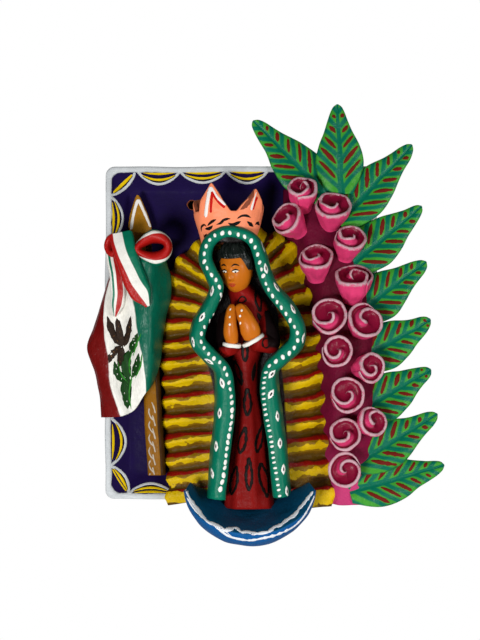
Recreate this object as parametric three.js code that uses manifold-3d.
// Painted clay retablo to hang on a wall: a shallow tray carries a pleated ray shell, a praying
// figure in a hooded mantle, a crown, a crescent, a folded flag with a bow, coil-rolled roses
// and a fan of leaves. Millimetres. While it is built x runs right, y up and z out of the wall.
import * as THREE from 'three';
import { mergeVertices } from 'three/addons/utils/BufferGeometryUtils.js';
import Module from 'manifold-3d';

const wasm = await Module();
wasm.setup();

// Driving dimensions
const SEAT = 0.3;              // gap left between pieces that are luted together
const TRAY_WIDTH = 186;
const TRAY_HEIGHT = 228;
const TRAY_DEPTH = 20;         // wall to rim
const TRAY_FLOOR = 8;          // thickness of the floor slab
const TRAY_FLARE = 12;         // how far the rim stands out past the back
const TRAY_BAND = 3.2;         // flat top of the rim
const TRAY_SLOPE = 13;         // inner slope from the rim to the floor
const TRAY_CORNER = 6;
const HOLE_DIAMETER = 6.5;     // hanging hole in the floor
const HOLE_X = 59.3;           // from the tray's left edge
const HOLE_BELOW_TOP = 25.4;
const SHELL_LAND = 24;         // height of the flat middle of the ray shell above the wall
const SHELL_EDGE = 18.5;       // height of its outer edge
const SHELL_PLEATS = 15;       // rays on each side
const PLEAT_DEPTH = 5;
const PLEAT_REACH = 2.6;       // how far each ray's end stands out of the outline
const BANK_RISE = 12;          // clay bank under the roses, above the rim
const ROSE_HEIGHT = 20;        // at the inner turns
const ROSE_DROP = 4;           // how far the outer lip is below them
const ROSE_SINK = 2.5;         // how deep each rose's foot is pressed into the bank
const ROSE_TURNS = 1.75;
const ROSE_STEPS = 16;         // facets in one turn
const ROSE_WINDING = 2.2;      // how much of the width the first turn takes; 1 spaces them evenly
const ROSE_WALL = 2.2;         // thickness of the rolled strip
const ROSE_GROOVE = 5.5;       // depth between the turns
const ROSE_WAIST = 0.76;       // radius halfway up, as a share of the lip's
const ROSE_FOOT = 0.48;
const LEAF_THICKNESS = 4.6;
const LEAF_WIDTH = 33;
const LEAF_ROLL = 11;          // degrees, one long edge raised over the next leaf
const MANTLE_HEIGHT = 33;      // from the ray shell to the lip
const ROBE_DEPTH = 18;         // from the ray shell to the front of the skirt's hem
const HEAD_WIDTH = 21;
const HEAD_HEIGHT = 33;
const HEAD_TURN = -25;         // degrees, toward the flag
const HEAD_NOD = 12;           // degrees, looking down
const HAIR_THICKNESS = 2;
const HAIR_FRONT = 0.49;       // hair's edge over the forehead and at the nape, as shares of
const HAIR_NAPE = -0.5;        // half the head's height from its middle
const HAND_LENGTH = 25;
const CUFF_HEIGHT = 2.6;
const SLEEVE_WIDTH = 12.5;
const CROWN_WIDTH = 48;        // across the points
const CROWN_FOOT = 36;         // across the lower edge
const CROWN_DEPTH = 33;        // front to back at the points
const CROWN_WALL = 4.2;
const CROWN_BAND = 21;
const CROWN_POINT = 19;        // height of the tallest point above the band
const CROWN_SPREAD = 30;       // degrees from the tip of a point to its foot
const CRESCENT_SPAN = 85;
const CRESCENT_DEPTH = 40;     // ray shell to front edge
const CRESCENT_DRAFT = 24;     // front edge's middle to the underside
const POLE_WIDTH = 11.5;
const POLE_DEPTH = 17;
const FLAG_THICKNESS = 6.5;
const FINIAL_HEIGHT = 26;
const FINIAL_WIDTH = 16;
const BOW_DEPTH = 17;          // front to back of a loop
const BOW_PINCH = 0.6;         // height of a loop beside the knot, as a share of the rest
const RIBBON_WIDTH = 14.5;
const RIBBON_THICKNESS = 5;

const HALF_WIDTH = TRAY_WIDTH / 2;
const HALF_HEIGHT = TRAY_HEIGHT / 2;
const RIM_TOP = TRAY_DEPTH + SEAT;
const FLOOR_TOP = TRAY_FLOOR + SEAT;
const LAND_TOP = SHELL_LAND + SEAT;
const FRONT = new THREE.Vector3(0, 0, 1);
const GROW_PASSES = 12;        // rounds in which each corner is pushed clear of all its faces

const radians = THREE.MathUtils.degToRad;
const mix = THREE.MathUtils.lerp;
const smooth = THREE.MathUtils.smoothstep;
const at = (x, y, z) => new THREE.Vector3(x, y, z);

// A closed surface from corner points and faces, turned so that its faces point out.
function closed(points, faces) {
  const loose = new THREE.BufferGeometry();
  const numbers = points.flatMap((p) => [p.x, p.y, p.z]);
  loose.setAttribute('position', new THREE.Float32BufferAttribute(numbers, 3));
  loose.setIndex(faces);
  return outward(mergeVertices(loose, 1e-4));
}

function outward(shape) {
  const position = shape.attributes.position;
  const corner = (i) => new THREE.Vector3().fromBufferAttribute(position, i);
  const kept = [];
  let volume = 0;
  for (let f = 0; f < shape.index.count; f += 3) {
    const [a, b, c] = [0, 1, 2].map((k) => shape.index.getX(f + k));
    if (a !== b && b !== c && c !== a) {
      kept.push(a, b, c);
      volume += corner(a).dot(corner(b).cross(corner(c)));
    }
  }
  shape.setIndex(volume > 0 ? kept : kept.reverse());
  return shape;
}

// A three.js shape with its seam closed.
function welded(geometry) {
  geometry.deleteAttribute('normal');
  geometry.deleteAttribute('uv');
  return outward(mergeVertices(geometry, 1e-4));
}

// Skin over a row of rings with equal point counts, capped at both ends or joined into a loop.
function loft(rings, loop = false) {
  const count = rings[0].length;
  const points = rings.flat();
  const faces = [];
  const last = loop ? rings.length : rings.length - 1;
  for (let r = 0; r < last; r++) {
    for (let i = 0; i < count; i++) {
      const next = (i + 1) % count;
      const above = ((r + 1) % rings.length) * count;
      faces.push(r * count + i, r * count + next, above + next);
      faces.push(r * count + i, above + next, above + i);
    }
  }
  if (!loop) {
    for (const [ring, side] of [[0, 1], [rings.length - 1, -1]]) {
      const middle = points.length;
      points.push(rings[ring].reduce((sum, p) => sum.add(p), at(0, 0, 0)).divideScalar(count));
      for (let i = 0; i < count; i++) {
        const edge = [ring * count + i, ring * count + ((i + 1) % count)];
        faces.push(middle, ...(side > 0 ? edge.reverse() : edge));
      }
    }
  }
  return closed(points, faces);
}

function solid(shape) {
  const vertProperties = new Float32Array(shape.attributes.position.array);
  const triVerts = new Uint32Array(shape.index.array);
  return new wasm.Manifold(new wasm.Mesh({ numProp: 3, vertProperties, triVerts }));
}

// The same shape moved out by the seat gap on all sides, to cut a neighbour with.
function grown(shape) {
  const position = shape.attributes.position;
  const normals = Array.from({ length: position.count }, () => []);
  const corner = (i) => new THREE.Vector3().fromBufferAttribute(position, i);
  for (let f = 0; f < shape.index.count; f += 3) {
    const ids = [0, 1, 2].map((k) => shape.index.getX(f + k));
    const [a, b, c] = ids.map(corner);
    const normal = b.sub(a).cross(c.sub(a)).normalize();
    ids.forEach((id) => normals[id].push(normal));
  }
  const larger = shape.clone();
  for (let i = 0; i < position.count; i++) {
    const move = at(0, 0, 0);
    for (let pass = 0; pass < GROW_PASSES; pass++) {
      normals[i].forEach((n) => move.addScaledVector(n, Math.max(0, SEAT - n.dot(move))));
    }
    const moved = corner(i).add(move.clampLength(0, 4 * SEAT));
    larger.attributes.position.setXYZ(i, moved.x, moved.y, moved.z);
  }
  return solid(larger).add(solid(shape));
}

// Moves a shape drawn along +z so that its foot stands at a point and its axis follows a direction.
function placed(shape, foot, direction) {
  const stand = new THREE.Quaternion().setFromUnitVectors(FRONT, direction.clone().normalize());
  shape.applyQuaternion(stand);
  shape.translate(foot.x, foot.y, foot.z);
  return shape;
}

// Tray: rounded rectangles from the back face up to the rim and down the inner slope
function trayRing(inset, height, corner) {
  const x = HALF_WIDTH - inset - corner;
  const y = HALF_HEIGHT - inset - corner;
  const ring = [];
  [[x, y], [-x, y], [-x, -y], [x, -y]].forEach(([cx, cy], quarter) => {
    for (let step = 0; step <= 3; step++) {
      const angle = (quarter + step / 3) * Math.PI / 2;
      ring.push(at(cx + corner * Math.cos(angle), cy + corner * Math.sin(angle), height));
    }
  });
  return ring;
}

function trayForm() {
  return loft([
    trayRing(TRAY_FLARE, 0, TRAY_CORNER),
    trayRing(1.2, TRAY_DEPTH - 4, TRAY_CORNER),
    trayRing(0, TRAY_DEPTH - 2, TRAY_CORNER),
    trayRing(0.8, TRAY_DEPTH, TRAY_CORNER),
    trayRing(TRAY_BAND, TRAY_DEPTH, TRAY_CORNER),
    trayRing(TRAY_BAND + 1, TRAY_DEPTH - 1.2, TRAY_CORNER),
    trayRing(TRAY_BAND + TRAY_SLOPE, TRAY_FLOOR, TRAY_CORNER),
  ]);
}

function hangingHole() {
  const drill = new THREE.CylinderGeometry(HOLE_DIAMETER / 2, HOLE_DIAMETER / 2, TRAY_FLOOR + 4, 16);
  drill.rotateX(Math.PI / 2);
  drill.translate(HOLE_X - HALF_WIDTH, HALF_HEIGHT - HOLE_BELOW_TOP, TRAY_FLOOR / 2);
  return solid(welded(drill));
}

// Ray shell: rays run from the edge of the flat middle out to the outline, one pleat per ray.
// Each list runs from the foot to the top of the head and has a point every three rays.
const RAY_ENDS_LEFT = [[-47.6, -118], [-49.7, -82.3], [-51, -41], [-52.5, -3], [-47, 44.6], [-9, 75]];
const RAY_ROOTS_LEFT = [[-15.7, -113], [-14.4, -77], [-17, -36], [-24.6, 0.6], [-18, 29], [-6, 48.4]];
const RAY_ENDS_RIGHT = [[63.5, -119], [62, -66.5], [58, -23], [51.7, 18.4], [31, 64], [-9, 75]];
const RAY_ROOTS_RIGHT = [[30, -121], [29.4, -71], [26, -29.5], [22.5, 14], [14.3, 45.6], [-6, 48.4]];
const PLEAT_WAVE = [0, 0.45, 1, 0.75];       // valley, lower slope, crest, red upper slope
const RAY_STEPS = [0, 0.4, 0.8, 1];          // root to end

function rayRow(row, ends, roots) {
  const share = row / (SHELL_PLEATS * PLEAT_WAVE.length);
  const wave = PLEAT_WAVE[row % PLEAT_WAVE.length];
  const end = ends.getPoint(share);
  const root = roots.getPoint(share);
  const reach = end.clone().sub(root).normalize().multiplyScalar(PLEAT_REACH * (wave - 0.5));
  end.add(reach);
  const overRim = smooth(-end.y, HALF_HEIGHT - 38, HALF_HEIGHT - 4);
  const edge = mix(SHELL_EDGE, SHELL_LAND, overRim);
  const depth = mix(PLEAT_DEPTH, (SHELL_LAND - RIM_TOP) * 0.6, overRim);
  return RAY_STEPS.map((step) => {
    const spot = root.clone().lerp(end, step);
    const dome = edge + (SHELL_LAND - edge) * (1 - step ** 2.4);
    const pleat = depth * (wave - 1) * smooth(step, 0, 0.5);
    return at(spot.x, spot.y, dome + pleat);
  });
}

function rayShellForm() {
  const curve = (list) => new THREE.CatmullRomCurve3(list.map(([x, y]) => at(x, y, 0)));
  const [endsLeft, rootsLeft] = [curve(RAY_ENDS_LEFT), curve(RAY_ROOTS_LEFT)];
  const [endsRight, rootsRight] = [curve(RAY_ENDS_RIGHT), curve(RAY_ROOTS_RIGHT)];
  const rings = [];
  const rows = SHELL_PLEATS * PLEAT_WAVE.length;
  for (let row = 0; row <= rows; row++) {
    const left = rayRow(row, endsLeft, rootsLeft);
    const right = row === rows ? left.map((p) => p.clone()) : rayRow(row, endsRight, rootsRight);
    const under = left[0].y < -HALF_HEIGHT + TRAY_BAND ? RIM_TOP : FLOOR_TOP;
    const feet = [left, right].map((side) => at(side.at(-1).x, side.at(-1).y, under));
    rings.push([feet[0], ...left.reverse(), ...right, feet[1]]);
  }
  return loft(rings);
}

// Bank of clay under the roses: middle line and half width from top to bottom. The bank, the
// roses and the leaves keep to the tray's right edge, so their x is measured from there.
const BANK_LINE = [[-53, 99, 11], [-42, 70, 21], [-29, 32, 24], [-23, -12, 23], [-20, -66, 22],
  [-20, -117, 19]];
const BANK_SECTION = [[-1, 0.55], [-0.62, 0.9], [0, 1], [0.62, 0.93], [1, 0.7]];   // across, up
const BANK_FOOT = 0.6;         // where its right side meets the floor, inside the tray's wall

function bankLine() {
  return new THREE.CatmullRomCurve3(BANK_LINE.map(([x, y, half]) => at(HALF_WIDTH + x, y, half)));
}

function bankCrest(share) {
  return TRAY_DEPTH + BANK_RISE - 5 * (1 - Math.sin(Math.PI * share));
}

function bankForm() {
  return loft(bankLine().getPoints(12).map(({ x, y, z: half }, step) => {
    const crest = bankCrest(step / 12);
    const under = y < -HALF_HEIGHT + TRAY_BAND ? RIM_TOP : FLOOR_TOP;
    const top = BANK_SECTION.map(([side, rise]) => [side, rise * crest]);
    return [[-1, under], ...top, [BANK_FOOT, under]].map(([side, z]) => at(x + side * half, y, z));
  }));
}

// Height of the bank's surface at a place on it.
function bankTop(x, y) {
  const places = bankLine().getPoints(60);
  const step = places.findIndex((place) => place.y <= y);
  const { x: middle, z: half } = places[Math.max(step, 0)];
  const side = THREE.MathUtils.clamp((x - middle) / half, -1, 1);
  const next = Math.max(1, BANK_SECTION.findIndex(([across]) => across >= side));
  const [[from, low], [to, high]] = [BANK_SECTION[next - 1], BANK_SECTION[next]];
  return bankCrest(Math.max(step, 0) / 60) * mix(low, high, (side - from) / (to - from));
}

// Roses, rolled from a strip: middle of the lip, its radius, the way it faces, and in degrees the
// side where the strip ends. Each one's foot is pressed into the bank, so the height of the lip
// follows from the bank's surface.
const ROSES = [
  { x: -52.8, y: 98.3, radius: 11.4, face: [-0.2, 1], end: 255 },
  { x: -31.2, y: 87.6, radius: 14, face: [0.1, 1.1], end: 150 },
  { x: -64, y: 78.2, radius: 13, face: [-0.8, 0.65], end: 200 },
  { x: -19.6, y: 65.5, radius: 12.4, face: [0.2, 1], end: 150 },
  { x: -43.3, y: 52.8, radius: 13.4, face: [-0.15, 1.2], end: 160 },
  { x: -16.9, y: 38.8, radius: 14.4, face: [0.08, 1.4], end: 320 },
  { x: -35.4, y: 12.8, radius: 13.8, face: [-0.12, 0.45], end: 200 },
  { x: -8.4, y: 9, radius: 13.6, face: [0.3, 0.4], end: 45 },
  { x: -29.6, y: -11.1, radius: 11.8, face: [-0.05, 0.05], end: 170 },
  { x: -6, y: -22.4, radius: 11.2, face: [0.45, 0.12], end: 200 },
  { x: -23, y: -40.2, radius: 13.2, face: [0, 0.3], end: 200 },
  { x: -3.4, y: -58.6, radius: 11.4, face: [0.5, 0.25], end: 60 },
  { x: -24.6, y: -66.6, radius: 12.4, face: [-0.1, 0.45], end: 200 },
  { x: -22.6, y: -91.9, radius: 13, face: [0, 0.1], end: 20 },
];

function roseStand({ x, y, face }) {
  const direction = at(...face, 1).normalize();
  const lip = ROSE_HEIGHT + ROSE_SINK - ROSE_DROP * 0.6;
  const foot = at(HALF_WIDTH + x, y, 0).addScaledVector(direction, -lip);
  return [foot.setZ(bankTop(foot.x, foot.y) - ROSE_SINK), direction];
}

// The rolled strip as one closed coil: its wall rises out of the middle, winds outward clockwise
// with a groove between the turns, and the last turn's outside runs down to the foot.
function roseForm({ radius, end }) {
  const last = Math.round(ROSE_TURNS * ROSE_STEPS);
  const full = ROSE_HEIGHT + ROSE_SINK;
  const middle = full - ROSE_GROOVE;
  const lip = (step) => radius * (1 - (1 - step / last) ** ROSE_WINDING);
  const inside = (step) => lip(step) - Math.min(ROSE_WALL, 0.55 * lip(step));
  const height = (step) => mix(middle, full - ROSE_DROP * step / last, smooth(step, 0, ROSE_STEPS / 3));
  const ring = (r, step, z) => {
    const angle = radians(end) - (step - last) / ROSE_STEPS * 2 * Math.PI;
    return at(r * Math.cos(angle), r * Math.sin(angle), z);
  };
  const groove = (step) => {
    const opened = smooth(step, 0, ROSE_STEPS / 3);
    const r = mix(lip(step), inside(step + ROSE_STEPS), 0.5 * opened);
    return ring(r, step, height(step) - ROSE_GROOVE * opened);
  };
  const points = [ring(0, 0, middle), at(0, 0, 0)];
  const row = (from, to, make) => {
    const start = points.length - from;
    for (let step = from; step <= to; step++) points.push(make(step));
    return (step) => start + step;
  };
  const under = last - ROSE_STEPS;      // the last turn runs down to the foot
  const inner = row(0, last, (step) => ring(inside(step), step, height(step)));
  const outer = row(0, last, (step) => ring(lip(step), step, height(step)));
  const floor = row(0, under, groove);
  const waist = row(under, last, (step) => ring(ROSE_WAIST * radius, step, 0.45 * full));
  const foot = row(under, last, (step) => ring(ROSE_FOOT * radius, step, 0));
  const faces = [];
  const strip = (a, b, step, shift = 0) => {
    faces.push(a(step), b(step + shift), b(step + shift + 1), a(step), b(step + shift + 1), a(step + 1));
  };
  for (let step = 0; step < last; step++) {
    strip(inner, outer, step);
    if (step < ROSE_STEPS) faces.push(0, inner(step), inner(step + 1));
    if (step < under) {
      strip(outer, floor, step);
      strip(floor, inner, step, ROSE_STEPS);
    } else {
      strip(outer, waist, step);
      strip(waist, foot, step);
      faces.push(foot(step), 1, foot(step + 1));
    }
  }
  const seam = [outer(under), floor(under), inner(last), outer(last)];
  [0, 1, 2].forEach((k) => faces.push(waist(under), seam[k], seam[k + 1]));
  return closed(points, faces);
}

// Leaves: foot, tip, height of the foot, and which long edge is raised
const LEAVES = [
  { foot: [-33, 91], tip: [-84.8, 144.7], height: 25, roll: -1 },
  { foot: [-25.2, 94], tip: [-27.2, 155.6], height: 27.5, roll: 0 },
  { foot: [-27, 74], tip: [23.8, 128.3], height: 26, roll: 1 },
  { foot: [-21, 44], tip: [30.6, 85.9], height: 26, roll: 1 },
  { foot: [-17, 10], tip: [33.3, 49], height: 26, roll: 1 },
  { foot: [-13, -19], tip: [36.8, 8.75], height: 26, roll: 1 },
  { foot: [-14, -55], tip: [36.8, -24.7], height: 26, roll: 1 },
  { foot: [-16, -90], tip: [40.9, -55.5], height: 26, roll: 1 },
  { foot: [-19, -108], tip: [45.6, -90.3], height: 27, roll: 1 },
];
const LEAF_OUTLINE = [[0, 0.5], [0.16, 0.82], [0.36, 1], [0.56, 0.88], [0.74, 0.54], [0.9, 0.2], [1, 0.05]];

function leafForm({ foot, tip, height, roll }) {
  const start = at(HALF_WIDTH + foot[0], foot[1], height);
  const along = at(HALF_WIDTH + tip[0], tip[1], height - 3).sub(start);
  const length = along.length();
  along.normalize();
  const across = along.clone().cross(FRONT).normalize().applyAxisAngle(along, -radians(LEAF_ROLL) * roll);
  const up = across.clone().cross(along);
  const section = [[-1, 0], [-0.5, 0.5], [0, 0.28], [0.5, 0.5], [1, 0], [0.45, -0.5], [-0.45, -0.5]];
  return loft(LEAF_OUTLINE.map(([share, wide]) => {
    const middle = start.clone().addScaledVector(along, share * length);
    const half = wide * LEAF_WIDTH / 2;
    const thick = LEAF_THICKNESS * mix(1, 0.45, share ** 3);
    return section.map(([side, rise]) => middle.clone()
      .addScaledVector(across, side * half).addScaledVector(up, rise * thick));
  }));
}

// Mantle: line along the middle of the hooded edge and its half width, left foot to right foot
const MANTLE_LINE = [
  [-15.6, -110, 6], [-13.7, -85, 6.4], [-10.8, -60, 6.8], [-9.9, -37, 6.6], [-12.6, -23, 5.6],
  [-21.6, -13.5, 5.4], [-28.4, -4.5, 5.2], [-27, 5.5, 5.2], [-19.4, 20, 5], [-15.9, 30.5, 4.8],
  [-19.5, 40, 4.6], [-23.2, 50.5, 4.5], [-20.6, 60.8, 4.5], [-12.5, 66.6, 4.4], [-2.6, 67, 4.4],
  [7, 62, 4.5], [12.2, 51.4, 4.6], [14.8, 40.5, 4.8], [20.6, 28.7, 5], [30.4, 16.4, 5.2],
  [37, 3.4, 5.4], [35.6, -7, 5.4], [27.3, -15.4, 5.4], [19.6, -23.5, 5.6], [18.2, -37, 6.4],
  [20.4, -55, 6.6], [23.8, -78, 6.2], [26.4, -108, 5.8],
];
const MANTLE_SECTION = [[1.12, 0], [1.14, 0.45], [0.94, 0.84], [0.1, 1], [-0.85, 0.9], [-0.8, 0.6],
  [-0.35, 0]];                   // outward, up

function mantleForm() {
  const line = new THREE.CatmullRomCurve3(MANTLE_LINE.map(([x, y, half]) => at(x, y, half)));
  return loft(line.getPoints(46).map(({ x, y, z: half }, step) => {
    const way = line.getTangent(step / 46).setZ(0).normalize();
    const out = at(-way.y, way.x, 0);
    return MANTLE_SECTION.map(([side, rise]) => at(x, y, LAND_TOP + rise * MANTLE_HEIGHT)
      .addScaledVector(out, side * half));
  }));
}

// Robe: height on the ray shell, middle, half width, and its depth as a share of the hem's
const ROBE_LINE = [
  [-118, 5.5, 17.2, 1], [-98, 5, 15.4, 0.94], [-78, 5.6, 12.6, 0.88], [-58, 5.6, 9.8, 0.82],
  [-38, 4.2, 8.2, 0.78], [-22, 3, 9.2, 0.82], [-6, 4, 12.4, 0.92], [9, 6, 14.4, 0.94],
  [20, 5, 12.4, 1.02], [28, 2.4, 9, 1.08], [33, 0.6, 6, 1],
];

function robeForm() {
  return loft(ROBE_LINE.map(([y, x, half, share]) => {
    const depth = share * ROBE_DEPTH;
    const ring = [at(x + half, y, LAND_TOP), at(x - half, y, LAND_TOP)];
    for (let step = 0; step <= 8; step++) {
      const angle = Math.PI * (1 - step / 8);
      ring.push(at(x + half * Math.cos(angle), y, LAND_TOP + depth * (0.25 + 0.75 * Math.sin(angle))));
    }
    return ring;
  }));
}

// Head on its neck, in its own axes: x to its left cheek, y up, z to the nose
const HEAD_PLACE = at(-3.4, 43.2, LAND_TOP + 17.5);
const HEAD_POSE = new THREE.Euler(radians(HEAD_NOD), radians(HEAD_TURN), 0, 'YXZ');

function headForm() {
  const skull = new THREE.SphereGeometry(1, 16, 12);
  const position = skull.attributes.position;
  for (let i = 0; i < position.count; i++) {
    const spot = new THREE.Vector3().fromBufferAttribute(position, i);
    const jaw = mix(1, 0.74, smooth(-spot.y, 0, 1));
    const front = Math.max(spot.z, 0);
    const nose = 0.2 * Math.exp(-((spot.x / 0.2) ** 2) - ((spot.y + 0.12) / 0.24) ** 2) * front;
    const brow = 0.05 * Math.exp(-(((spot.y - 0.18) / 0.16) ** 2)) * front;
    const wide = HEAD_WIDTH / 2;
    position.setXYZ(i, spot.x * wide * jaw, spot.y * HEAD_HEIGHT / 2,
      (spot.z * 0.95 + nose + brow) * wide * 1.06 * mix(1, 0.9, smooth(-spot.y, 0.2, 1)));
  }
  return posed(welded(skull));
}

function posed(shape) {
  shape.applyQuaternion(new THREE.Quaternion().setFromEuler(HEAD_POSE));
  return shape.translate(HEAD_PLACE.x, HEAD_PLACE.y, HEAD_PLACE.z);
}

function neckForm() {
  const neck = new THREE.CylinderGeometry(4.6, 5.4, 14, 12);
  neck.translate(HEAD_PLACE.x + 2.5, HEAD_PLACE.y - HEAD_HEIGHT / 2 + 1, HEAD_PLACE.z - 7);
  return welded(neck);
}

// Hair: a cap over the skull. Its lower edge is level over the forehead, drops at the temples
// and is lowest at the nape. Heights are shares of half the head's height.
function hairEdge(fromFront) {
  const temple = mix(HAIR_FRONT, -0.05, smooth(fromFront, 45, 75));
  return mix(temple, HAIR_NAPE, smooth(fromFront, 90, 150));
}

function hairForm() {
  const rows = [[0, -1], [0, 0.7], [0.2, 1], [0.45, 1], [0.72, 1], [0.94, 1]];      // rise, thickness
  return posed(loft(rows.map(([rise, thick]) => Array.from({ length: 20 }, (_, side) => {
    const turn = side / 20 * 360;
    const latitude = mix(Math.asin(hairEdge(Math.min(turn, 360 - turn))), Math.PI / 2, rise);
    const radius = (HEAD_WIDTH / 2 + thick * HAIR_THICKNESS) * Math.cos(latitude);
    const height = (HEAD_HEIGHT / 2 + thick * HAIR_THICKNESS) * Math.sin(latitude);
    return at(radius * Math.sin(radians(turn)), height, radius * Math.cos(radians(turn)));
  }))));
}

// A rounded form drawn through rings: middle, half width across, half thickness.
function limb(stations) {
  const sides = 10;
  const line = new THREE.CatmullRomCurve3(stations.map(({ middle }) => at(...middle)));
  const across = at(1, 0, 0);
  return loft(stations.map(({ middle, wide, thick }, index) => {
    const way = line.getTangent(index / (stations.length - 1));
    across.addScaledVector(way, -across.dot(way)).normalize();
    const up = way.clone().cross(across).normalize();
    return Array.from({ length: sides }, (_, side) => {
      const angle = side / sides * 2 * Math.PI;
      return at(...middle)
        .addScaledVector(across, wide * Math.cos(angle))
        .addScaledVector(up, thick * Math.sin(angle));
    });
  }));
}

// Hands, cuffs and sleeves: wrist places are shared, so each hand stands in its own cuff.
const WRIST_LEFT = [-5.8, -6.2];
const WRIST_RIGHT = [7.2, -3.4];
const WRIST_HEIGHT = LAND_TOP + 25;
const FINGERTIPS = [-4, WRIST_LEFT[1] + HAND_LENGTH];

function handForm(wrist, width, lean) {
  const place = (share, aside = 0) => [mix(wrist[0], FINGERTIPS[0] + lean, share) + aside,
    mix(wrist[1], FINGERTIPS[1], share), WRIST_HEIGHT + 3 * Math.sin(Math.PI * share)];
  return limb([
    { middle: place(0), wide: 0.8 * width, thick: 4 },
    { middle: place(0.22, lean * 0.4), wide: width, thick: 4.6 },
    { middle: place(0.5, lean * 0.5), wide: 0.86 * width, thick: 4.2 },
    { middle: place(0.76, lean * 0.3), wide: 0.7 * width, thick: 3.6 },
    { middle: place(0.93), wide: 0.54 * width, thick: 2.8 },
    { middle: place(1), wide: 0.3 * width, thick: 1.6 },
  ]);
}

function cuffForm(wrist, width, way) {
  const cuff = new THREE.LatheGeometry([[0, -0.5], [0.92, -0.5], [1, -0.2], [1, 0.2], [0.92, 0.5], [0, 0.5]]
    .map(([r, h]) => new THREE.Vector2(r * (width + 1.2), h * CUFF_HEIGHT)), 14);
  cuff.scale(1, 1, 0.84);
  cuff.rotateX(Math.PI / 2);
  const foot = at(...wrist, WRIST_HEIGHT).addScaledVector(way, -SEAT - CUFF_HEIGHT / 2);
  return placed(welded(cuff), foot, way);
}

function sleeveForm(wrist, elbow, shoulder, way) {
  const end = at(...wrist, WRIST_HEIGHT).addScaledVector(way, -CUFF_HEIGHT - 2 * SEAT);
  const half = SLEEVE_WIDTH / 2;
  return limb([
    { middle: end.toArray(), wide: 0.86 * half, thick: 0.84 * half },
    { middle: at(...elbow).lerp(end, 0.45).toArray(), wide: half, thick: half },
    { middle: elbow, wide: half, thick: half },
    { middle: at(...elbow).lerp(at(...shoulder), 0.5).toArray(), wide: half, thick: half },
    { middle: shoulder, wide: 0.8 * half, thick: 0.8 * half },
  ]);
}

const HAND_WAY_LEFT = at(0.1, 1, 0.15).normalize();
const HAND_WAY_RIGHT = at(-0.5, 0.86, 0.1).normalize();

// Crown: an open ring whose wall leans outward and rises to two straight points in front and two
// low round ones behind. Degrees from the front, share of the full height, and roundness.
const CROWN_PLACE = at(-8.4, 60, LAND_TOP + 16.5);
const CROWN_POINTS = [[-27, 1, 1], [45, 0.8, 1], [126, 0.36, 2.4], [-126, 0.5, 2.4]];

function crownPoint(degrees) {
  return Math.max(...CROWN_POINTS.map(([middle, tall, roundness]) => {
    const apart = Math.abs(THREE.MathUtils.euclideanModulo(degrees - middle + 180, 360) - 180);
    return tall * (1 - Math.min(1, apart / CROWN_SPREAD) ** roundness);
  }));
}

function crownForm() {
  const stations = 40;                  // so that every tip falls on one
  const rings = [];
  for (let step = 0; step < stations; step++) {
    const angle = step / stations * 2 * Math.PI;
    const pointed = crownPoint(step / stations * 360);
    const side = at(Math.sin(angle), 0, Math.cos(angle) * CROWN_DEPTH / CROWN_WIDTH);
    const tall = CROWN_BAND + CROWN_POINT * pointed;
    const spot = (radius, y) => side.clone().multiplyScalar(radius).add(at(0, y, -0.12 * y)).add(CROWN_PLACE);
    const lean = (y) => mix(CROWN_FOOT, CROWN_WIDTH, Math.min(y / CROWN_BAND, 1.35)) / 2;
    const thin = mix(CROWN_WALL, CROWN_WALL * 0.55, pointed);
    rings.push([spot(lean(0), 0), spot(lean(tall), tall),
      spot(lean(tall) - thin, tall), spot(lean(0) - CROWN_WALL, 0)]);
  }
  return loft(rings, true);
}

// Crescent: a boat with its horns up. Back edge, front edge, underside, station by station.
const CRESCENT_MIDDLE = at(6, -118.5, LAND_TOP);

function crescentForm() {
  const rings = [];
  for (let step = -9; step <= 9; step++) {
    const angle = radians(step * 9.4);
    const [side, lift] = [Math.sin(angle), 1 - Math.cos(angle)];
    const horn = Math.abs(side) ** 4;
    const spread = (share) => CRESCENT_MIDDLE.x + side * share * CRESCENT_SPAN / 2;
    const frontZ = LAND_TOP + mix(CRESCENT_DEPTH, 0.72 * CRESCENT_DEPTH, horn);
    const backZ = mix(CRESCENT_MIDDLE.z - 8, LAND_TOP + 0.35 * CRESCENT_DEPTH, horn);
    const backY = CRESCENT_MIDDLE.y + 18 * Math.abs(side) ** 1.6;
    const frontY = CRESCENT_MIDDLE.y - 12 + 30 * lift;
    const keelY = CRESCENT_MIDDLE.y - CRESCENT_DRAFT + 41 * lift;
    rings.push([
      at(spread(0.94), backY, backZ),
      at(spread(0.97), mix(backY, frontY, 0.55) + 1, mix(backZ, frontZ, 0.6)),
      at(spread(1), frontY, frontZ),
      at(spread(1.04), mix(frontY, keelY, 0.55), frontZ - 4),
      at(spread(1.03), keelY, mix(backZ, frontZ, 0.5)),
      at(spread(1), mix(keelY, backY, 0.2), mix(backZ, frontZ, 0.12)),
      at(spread(0.97), mix(keelY, backY, 0.6), backZ),
    ]);
  }
  return loft(rings);
}

// The flag, its pole and its bow keep to the tray's left edge, so their x is measured from there.
function fromLeft(x, y, z = 0) {
  return at(x - HALF_WIDTH, y, z);
}

// Flag pole: a squared rod on the tray floor, leaning a little, with a blade on top
const POLE_TOP = fromLeft(24.5, 68);
const POLE_FOOT = fromLeft(35.5, -97);

function poleForm() {
  const [half, edge] = [POLE_WIDTH / 2, 2];
  const section = [[-half, 0], [half, 0], [half, POLE_DEPTH - edge], [half - edge, POLE_DEPTH],
    [edge - half, POLE_DEPTH], [-half, POLE_DEPTH - edge]];
  return loft([0, 0.5, 1].map((share) => {
    const middle = POLE_FOOT.clone().lerp(POLE_TOP, share);
    return section.map(([x, z]) => at(middle.x + x, middle.y, FLOOR_TOP + z));
  }));
}

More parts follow.
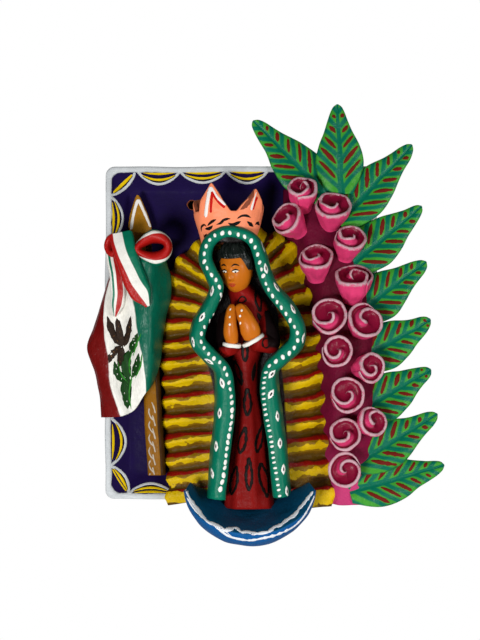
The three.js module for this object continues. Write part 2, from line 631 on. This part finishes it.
function finialForm() {
  const outline = [[0, 0.8], [0.2, 1], [0.45, 0.78], [0.72, 0.42], [0.92, 0.16], [1, 0.07]];
  return loft(outline.map(([share, wide]) => {
    const half = wide * FINIAL_WIDTH / 2;
    const height = POLE_TOP.y + SEAT + share * FINIAL_HEIGHT;
    const middle = at(POLE_TOP.x - 0.5 - 2 * share, height, FLOOR_TOP + 10);
    return [[-1, 0], [-0.5, 2.8], [0.5, 2.8], [1, 0], [0.5, -2.6], [-0.5, -2.6]]
      .map(([side, z]) => at(middle.x + side * half, middle.y, middle.z + z * mix(1, 0.4, share)));
  }));
}

// Flag: one folded slab. Each fold is a line from the top to the lower edge, left to right.
const FLAG_FOLDS = [
  [[7, 50, 31], [0, 25, 32], [-6.5, 4, 33], [-11, -11, 34], [-4, -33, 34], [-2, -57.5, 32]],
  [[9, 50, 35], [2, 22, 36], [2.4, -2, 39], [6.5, -21, 40], [8.2, -39, 40], [14, -55.5, 38]],
  [[13, 50, 37], [11, 22, 34.5], [12.5, -2, 34.5], [16, -22, 34.5], [17.5, -38, 35], [20, -53, 35]],
  [[16.6, 50, 42], [19.7, 20, 42], [23, -3, 42], [26.5, -20, 41.5], [28, -33, 40], [28.5, -41, 38]],
  [[31, 50, 46], [32, 24, 45], [33, 2, 43.5], [33, -14, 42], [32.5, -27, 40], [31, -38, 37]],
  [[42.4, 49, 31], [45.8, 31, 29.5], [42, 10, 28], [39.4, -9, 28], [36.5, -25, 29], [32, -37, 32]],
];

function flagForm() {
  const folds = FLAG_FOLDS.map((fold) => new THREE.CatmullRomCurve3(fold.map((p) => fromLeft(...p))));
  return loft(Array.from({ length: 10 }, (_, row) => {
    const front = folds.map((fold) => fold.getPoint(row / 9));
    const deepest = [1, 1, 1, 1.5, 2.6, 1.4];
    const back = front.map((p, fold) => at(p.x, p.y, p.z - FLAG_THICKNESS * deepest[fold]));
    return [...front, ...back.reverse()];
  }));
}

// Bow: two looped ribbons, a band with the right tail, and the left tail
function bowLoop(centre, { across, tall, slit, opening }, turn) {
  const rings = [];
  for (let step = 0; step < 14; step++) {
    const angle = step / 14 * 2 * Math.PI;
    const pinch = mix(BOW_PINCH, 1, smooth(Math.cos(angle), -1, 0.2));    // narrow at the knot
    const spot = (x, y) => at(x / 2 * Math.cos(angle), y / 2 * pinch * Math.sin(angle), 0);
    const [outer, inner] = [spot(across, tall), spot(slit, opening)];
    rings.push(Array.from({ length: 8 }, (_, side) => {
      const round = side / 8 * 2 * Math.PI;
      const point = inner.clone().lerp(outer, 0.5 + 0.5 * Math.cos(round));
      return point.setZ(BOW_DEPTH / 2 * Math.sin(round)).applyEuler(turn).add(centre);
    }));
  }
  return loft(rings, true);
}

function ribbonForm(route, width) {
  const line = new THREE.CatmullRomCurve3(route.map((p) => fromLeft(...p)));
  const count = 7;
  return loft(line.getPoints(count - 1).map((middle, step) => {
    const way = line.getTangent(step / (count - 1));
    const across = at(-way.y, way.x, 0).normalize();
    const up = across.clone().cross(way).multiplyScalar(across.clone().cross(way).z < 0 ? -1 : 1);
    const half = width / 2 * (step === count - 1 ? 0.3 : 1);
    return [[-1, -0.5], [1, -0.5], [1.04, 0.1], [0.6, 0.5], [-0.6, 0.5], [-1.04, 0.1]]
      .map(([side, rise]) => middle.clone().addScaledVector(across, side * half)
        .addScaledVector(up, rise * RIBBON_THICKNESS));
  }));
}

const BOW_RIGHT = { across: 26, tall: 25, slit: 15.5, opening: 6 };
const BOW_LEFT = { across: 15, tall: 17, slit: 4, opening: 5 };
const BAND_ROUTE = [[13, 66.5, 44], [14.6, 58, 47.5], [17.6, 48, 49], [23.7, 32, 48.5], [30.9, 18, 46.5]];
const TAIL_ROUTE = [[7, 54, 41], [9.4, 42, 42.5], [10.6, 29, 41.5], [8.8, 11.5, 39]];

// Every piece as modelled on its own, before its neighbours are taken out of it
const forms = {
  back_tray: trayForm(),
  ray_shell: rayShellForm(),
  rose_bank: bankForm(),
  mantle: mantleForm(),
  robe: robeForm(),
  head: headForm(),
  neck: neckForm(),
  hair: hairForm(),
  left_sleeve: sleeveForm(WRIST_LEFT, [-11, -10, LAND_TOP + 17], [-10, 12, LAND_TOP + 9], HAND_WAY_LEFT),
  right_sleeve: sleeveForm(WRIST_RIGHT, [20, -7, LAND_TOP + 17], [15, 13, LAND_TOP + 9], HAND_WAY_RIGHT),
  left_cuff: cuffForm(WRIST_LEFT, 4.8, HAND_WAY_LEFT),
  right_cuff: cuffForm(WRIST_RIGHT, 6.4, HAND_WAY_RIGHT),
  left_hand: handForm(WRIST_LEFT, 4.8, -2.2),
  right_hand: handForm(WRIST_RIGHT, 6.6, 2.4),
  crown: crownForm(),
  crescent: crescentForm(),
  flag_pole: poleForm(),
  pole_finial: finialForm(),
  flag: flagForm(),
  bow_loop_right: bowLoop(fromLeft(34, 57, 42), BOW_RIGHT, new THREE.Euler(0, 0, 0.1)),
  bow_loop_left: bowLoop(fromLeft(10.4, 58.5, 39), BOW_LEFT, new THREE.Euler(0, -0.5, Math.PI)),
  bow_band: ribbonForm(BAND_ROUTE, RIBBON_WIDTH),
  ribbon_tail_left: ribbonForm(TAIL_ROUTE, RIBBON_WIDTH * 0.66),
};
ROSES.forEach((rose, index) => {
  forms[roseName(index)] = placed(roseForm(rose), ...roseStand(rose));
});
LEAVES.forEach((leaf, index) => {
  forms[leafName(index)] = leafForm(leaf);
});

function roseName(index) {
  return `rose_${String(index + 1).padStart(2, '0')}`;
}

function leafName(index) {
  return `leaf_${index + 1}`;
}

// The piece itself: its form with its neighbours' forms and the seat gap taken out.
function seated(name, neighbours, body = solid(forms[name])) {
  const cut = neighbours.reduce((rest, other) => rest.subtract(grown(forms[other])), body);
  return cut.decompose().sort((a, b) => b.volume() - a.volume())[0];
}

const retablo = new THREE.Group();
retablo.name = 'clay_retablo';
retablo.rotation.x = Math.PI / 2;      // stands the relief up, its back on the wall plane y = 0

function add(name, body, color, roughness = 0.45) {
  const { vertProperties, triVerts } = body.getMesh();
  const geometry = new THREE.BufferGeometry();
  geometry.setAttribute('position', new THREE.BufferAttribute(vertProperties, 3));
  geometry.setIndex(new THREE.BufferAttribute(triVerts, 1));
  const material = new THREE.MeshStandardMaterial({ color, roughness, metalness: 0 });
  const mesh = new THREE.Mesh(geometry, material);
  mesh.name = name;
  retablo.add(mesh);
}

add('back_tray', solid(forms.back_tray).subtract(hangingHole()), '#24104a');
add('ray_shell', seated('ray_shell', ['back_tray']), '#e6c400');
add('mantle', solid(forms.mantle), '#0a7a5c');
add('robe', seated('robe', ['mantle']), '#961c18');
add('head', seated('head', ['robe', 'mantle'], solid(forms.head).add(solid(forms.neck))), '#cc7820');
add('hair', seated('hair', ['head', 'neck', 'mantle', 'robe']), '#141414');
for (const side of ['left', 'right']) {
  add(`${side}_sleeve`, seated(`${side}_sleeve`, ['robe', 'mantle']), '#961c18');
  add(`${side}_cuff`, seated(`${side}_cuff`, ['robe', 'mantle', `${side}_sleeve`]), '#e6e4dc');
}
const arms = ['robe', 'left_cuff', 'right_cuff', 'right_sleeve'];
add('left_hand', seated('left_hand', [...arms, 'left_sleeve']), '#cc7820');
add('right_hand', seated('right_hand', [...arms, 'left_hand']), '#cc7820');
add('crown', seated('crown', ['mantle', 'ray_shell', 'back_tray']), '#ee8866');
add('crescent', seated('crescent', ['back_tray', 'ray_shell', 'mantle', 'robe']), '#06467c');
add('flag_pole', seated('flag_pole', ['back_tray', 'ray_shell']), '#a87410');
add('pole_finial', seated('pole_finial', ['flag_pole', 'back_tray']), '#a87410');
add('flag', seated('flag', ['flag_pole', 'back_tray', 'ray_shell', 'pole_finial']), '#00694e');
add('bow_loop_right', seated('bow_loop_right', ['flag', 'flag_pole', 'pole_finial', 'back_tray']), '#b81c18');
add('bow_loop_left', seated('bow_loop_left', ['flag', 'flag_pole', 'back_tray']), '#b81c18');
const bows = ['flag', 'bow_loop_right', 'bow_loop_left', 'pole_finial'];
add('bow_band', seated('bow_band', bows), '#e0ded6');
add('ribbon_tail_left', seated('ribbon_tail_left', [...bows, 'bow_band']), '#e0ded6');

const roseNames = ROSES.map((_, index) => roseName(index));
add('rose_bank', seated('rose_bank', ['back_tray', 'ray_shell', ...roseNames]), '#8e1048', 0.5);
roseNames.forEach((name, index) => {
  add(name, seated(name, roseNames.slice(0, index)), '#e04c84', 0.4);
});
const LEAF_ORDER = [1, 0, 2, 3, 4, 5, 6, 7, 8];    // the second leaf lies over both its neighbours
LEAF_ORDER.forEach((leaf, place) => {
  const over = LEAF_ORDER.slice(Math.max(0, place - 2), place).map(leafName);
  add(leafName(leaf), seated(leafName(leaf), ['back_tray', 'rose_bank', ...roseNames, ...over]), '#1c8048');
});

export default retablo;
